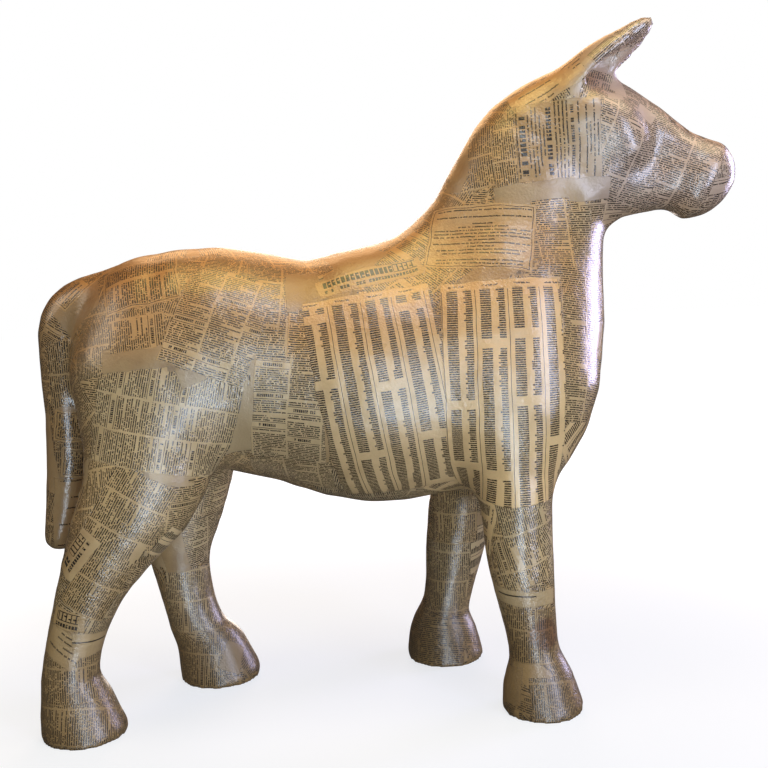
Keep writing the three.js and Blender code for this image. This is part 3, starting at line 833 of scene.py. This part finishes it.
def paper_colour(p, where, kind, luck, edge, wander, aged_and_toplit, near_floor):
    """Paper under varnish: each sheet's tone, glue stains, fibres, age with painted top light,
    painted head light, painted tail shade, darker feet, one spill, edge dirt with painted shadow.
    """
    plain = is_kind(kind, "plain")
    paper = p.mix_colour(luck[1], PAPER_WARM, PAPER_COOL)
    stain = p.soft(p.noise(where, FINE["stain"], 3.0, 0.6), 0.4, 0.75)
    glued = stain * (TINT["glue"] + plain * TINT["glue on plain sheets"])
    paper = p.mix_colour(glued, paper, GLUE)
    # painted warm light from above: upward faces turn amber, partly aged varnish
    paper = p.mix_colour(aged_and_toplit * TINT["age_and_top_light"], paper, AMBER_AND_TOP_LIGHT)

    tone = TONE + luck[0] * TONE_GAIN["luck"]
    for name in ("plain", "table", "panel"):
        tone = tone + is_kind(kind, name) * TONE_GAIN[name]
    lit = tone * (0.9 + p.noise(where, FINE["fibre"], 2.0, 0.7) * 0.2)
    paper = p.mix_colour(1.0, paper, p.join(lit, lit, lit), "MULTIPLY")

    ahead, _, height = p.split(where)
    # painted shade: the tail darker and browner
    tail = p.soft(0 - ahead, *TAIL_SHADE_BEHIND) * p.soft(height, *TAIL_SHADE_ABOVE)
    paper = p.mix_colour(tail * TINT["tail"], paper, TAIL_SHADE)
    # painted light: the head and ears lighter and pinker
    head = p.soft(ahead, *HEAD_LIGHT_AHEAD) * p.soft(height, *HEAD_LIGHT_ABOVE)
    paper = p.mix_colour(head * TINT["head"], paper, PAINTED_HEAD_LIGHT)
    # darker and browner towards the floor, unevenly
    paper = p.mix_colour(near_floor * TINT["near_floor_tone"], paper, LOW_TONE)
    away = p.add("ShaderNodeVectorMath", {"operation": "DISTANCE"}, {0: where, 1: SPILL},
                 out="Value")
    spilt = 1 - p.soft(away + wander * MM, *SPILL_SIZE)
    paper = p.mix_colour(spilt * TINT["spill"], paper, SPILT)
    # dirt and painted shadow just inside the edge of the sheet on top
    edge_dirt_and_shadow = 1 - p.soft(edge, 0.1, 1.0)
    return p.mix_colour(edge_dirt_and_shadow * TINT["edge_dirt_and_shadow"], paper, EDGE_DIRT_AND_SHADOW)


def relief(p, where, edge, luck):
    """The height in mm: sheet edges, creases, wrinkles of wet paper, and fibres."""
    fold = (p.noise(where, FINE["crease"], 2.0, 0.6) - 0.5).abs()
    creased = p.soft(p.noise(where, FINE["creased"], 1.0), 0.5, 0.65)
    crease = (1 - p.soft(fold, 0.0, 0.06)) * creased
    wrinkle = p.noise(where, FINE["wrinkle"], 2.0, 0.6)
    grit = p.noise(where, FINE["grit"], 2.0, 0.6)
    return (p.soft(edge, -0.1, 0.7) * SHEET + luck * EXTRA + crease * CREASE
            + wrinkle * WRINKLE + grit * GRIT)


def newsprint():
    """Newspaper sheets laid over each other, yellowed by a coat of varnish."""
    p = Paint("varnished_newspaper")
    where = p.add("ShaderNodeTexCoord", {}, out="Object")

    # the sheet on top, with an edge that wanders from the straight cut
    drift = p.noise(where, FINE["drift"], 1.0) - 0.5
    fray = p.noise(where, FINE["fray"], 2.0) - 0.5
    wander = drift * DRIFT + fray * FRAY
    place, size, edge = uppermost(p, wander)
    u, v, tag = p.split(place)
    half_u, half_v, shift = p.split(size)
    tag = (tag + 0.5).floor()
    kind = (tag / SEEDS).floor()
    seed = tag - kind * SEEDS
    luck = p.dice(tag, 1.0, 2.0)

    # paper shrinks as it dries, so its lines of print are never quite straight
    pull = p.noise(where, FINE["pull"], 1.0, out="Color")
    pull_u, pull_v, _ = p.split(pull)
    ink = print_on(p, u + (pull_u - 0.5) * PULL, v + (pull_v - 0.5) * PULL, half_u, half_v, shift,
                   edge, kind, seed)
    ink = ink * p.soft(p.noise(where, FINE["wear"], 2.0), 0.1, 0.36)

    # age and painted warm light from above on the upper sides, and darker paper near the floor
    geometry = p.add("ShaderNodeNewGeometry", {}, out="Normal")
    _, _, facing_up = p.split(geometry)
    _, _, height = p.split(where)
    aged_and_toplit = p.soft(facing_up, *AGE_AND_TOP_LIGHT_FACING) * p.soft(height, *AGE_AND_TOP_LIGHT_ABOVE)
    smear = p.noise(where, FINE["smear"], 2.0)
    near_floor = (1 - p.soft(height, *DARKER_BELOW)) * (0.5 + smear * 0.8)
    paper = paper_colour(p, where, kind, luck, edge, wander, aged_and_toplit, near_floor)
    colour = p.mix_colour(ink * TINT["ink"], paper, INK)
    bump = p.add("ShaderNodeBump", {},
                 {"Strength": 1.0, "Distance": MM, "Height": relief(p, where, edge, luck[2])})

    # the varnish is duller where it has aged, near the floor, and where it soaked in
    rough = (0.15 + 0.14 * p.noise(where, FINE["gloss"], 2.0) + aged_and_toplit * 0.13
             + is_kind(kind, "plain") * 0.1 + near_floor * 0.16)
    varnish = 0.5 - aged_and_toplit * 0.2 - near_floor * 0.15
    for socket, wire in (("Base Color", colour), ("Roughness", rough), ("Normal", bump),
                         ("Coat Weight", varnish)):
        p.tree.links.new(wire.socket, p.shader.inputs[socket])
    p.shader.inputs["IOR"].default_value = 1.52
    p.shader.inputs["Specular IOR Level"].default_value = 1.0
    p.shader.inputs["Coat Roughness"].default_value = 0.27
    return p.material


# ---- The donkey ---------------------------------------------------------------------------------

def make_donkey():
    """One closed piece, in the solid's place."""
    mesh = even_mesh(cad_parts["donkey"])
    skin = Skin(mesh)
    skin.settle()
    skin.blunt_ears()
    skin.flare_hooves()
    skin.add_lumps()
    skin.write()
    paste_all(skin)
    mesh.shade_smooth()
    mesh.materials.clear()
    mesh.materials.append(newsprint())
    donkey = link(bpy.data.objects.new("newspaper_donkey", mesh))
    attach(donkey, "root")
    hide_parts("donkey")


# ---- Floor and light ----------------------------------------------------------------------------

FLOOR_HALF = 12.0                   # metres
NEAR_GLOW, FAR_GLOW = (0.72, 0.73, 0.75, 1), (1, 1, 1, 1)
GLOW_FADE = (0.3, 1.3)              # metres from the middle over which the floor clears to white
ROOM = (1.0, 0.86, 0.74, 1)         # the room's own dim light
ROOM_STRENGTH = 0.06


def make_floor():
    """A pale floor that clears to white, lights nothing and shows in no reflection."""
    h = FLOOR_HALF
    mesh = bpy.data.meshes.new("floor")
    mesh.from_pydata([(-h, -h, 0), (h, -h, 0), (h, h, 0), (-h, h, 0)], [], [(0, 1, 2, 3)])
    floor = link(bpy.data.objects.new("floor", mesh))
    p = Paint("pale_floor")
    where = p.add("ShaderNodeTexCoord", {}, out="Object")
    away = p.add("ShaderNodeVectorMath", {"operation": "LENGTH"}, {0: where}, out="Value")
    glow = p.mix_colour(p.soft(away, *GLOW_FADE), NEAR_GLOW, FAR_GLOW)
    p.tree.links.new(glow.socket, p.shader.inputs["Emission Color"])
    p.shader.inputs["Emission Strength"].default_value = 1.0
    p.shader.inputs["Base Color"].default_value = (0.22, 0.23, 0.27, 1)
    p.shader.inputs["Roughness"].default_value = 1.0
    p.shader.inputs["Specular IOR Level"].default_value = 0.0
    mesh.materials.append(p.material)
    floor.visible_diffuse = False
    floor.visible_glossy = False
    floor.visible_shadow = False


AIM = Vector((0, 0, 0.4))           # what every lamp points at
REACH = 2.3                         # and how far from it they hang
LAMPS = {       # degrees round from the viewer towards the head, and up; width, height; watts
    "tall window": (3, -7, 0.42, 2.0, 15, (0.74, 0.86, 1.0)),
    "side window": (38, 8, 0.46, 2.0, 26, (0.68, 0.75, 1.0)),
    "end window": (112, 9, 0.8, 1.4, 32, (0.7, 0.66, 1.0)),
    "floor glare": (2, -28, 0.5, 0.35, 2.8, (0.62, 0.8, 1.0)),
    "sky light": (14, 55, 0.6, 0.45, 8, (0.55, 0.76, 1.0)),
    "end lamp": (75, 56, 1.2, 1.2, 13, (1.0, 0.86, 0.6)),
    "lamp behind": (-175, 40, 1.6, 1.0, 18, (1.0, 0.62, 0.32)),
    "far window": (178, 4, 1.0, 1.6, 26, (1.0, 0.86, 0.78)),
    "ceiling lamp": (-8, 78, 1.6, 1.2, 23, (1.0, 0.8, 0.28)),
    "back lamp": (-75, 30, 1.2, 1.2, 9, (1.0, 0.9, 0.75)),
    "pale floor": (20, -42, 1.2, 0.6, 4, (1.0, 0.88, 0.75)),
}


def make_room():
    """A dim warm room that the donkey sees, before a white backdrop that the viewer sees."""
    world = bpy.data.worlds.new("room")
    bpy.context.scene.world = world
    world.use_nodes = True
    tree = world.node_tree
    room = tree.nodes["Background"]
    room.inputs["Color"].default_value = ROOM
    room.inputs["Strength"].default_value = ROOM_STRENGTH
    backdrop = tree.nodes.new("ShaderNodeBackground")
    backdrop.inputs["Color"].default_value = (1, 1, 1, 1)
    seen = tree.nodes.new("ShaderNodeLightPath")
    mix = tree.nodes.new("ShaderNodeMixShader")
    tree.links.new(seen.outputs["Is Camera Ray"], mix.inputs[0])
    tree.links.new(room.outputs[0], mix.inputs[1])
    tree.links.new(backdrop.outputs[0], mix.inputs[2])
    tree.links.new(mix.outputs[0], tree.nodes["World Output"].inputs["Surface"])
    bpy.context.scene.view_settings.view_transform = "Standard"


def hang_lamps():
    """Windows and lamps as soft rectangles, all facing the donkey."""
    for name, (round_to, rise, width, height, watts, colour) in LAMPS.items():
        turn, rise = math.radians(round_to), math.radians(rise)
        level = math.cos(rise)
        away = Vector((math.sin(turn) * level, -math.cos(turn) * level, math.sin(rise)))
        data = bpy.data.lights.new(name, "AREA")
        data.shape, data.size, data.size_y = "RECTANGLE", width, height
        data.energy, data.color = watts, colour
        lamp = link(bpy.data.objects.new(name, data))
        lamp.location = AIM + away * REACH
        lamp.rotation_euler = (-away).to_track_quat("-Z", "Y").to_euler()
        lamp.visible_camera = False


set_camera()
make_donkey()
make_floor()
make_room()
hang_lamps()
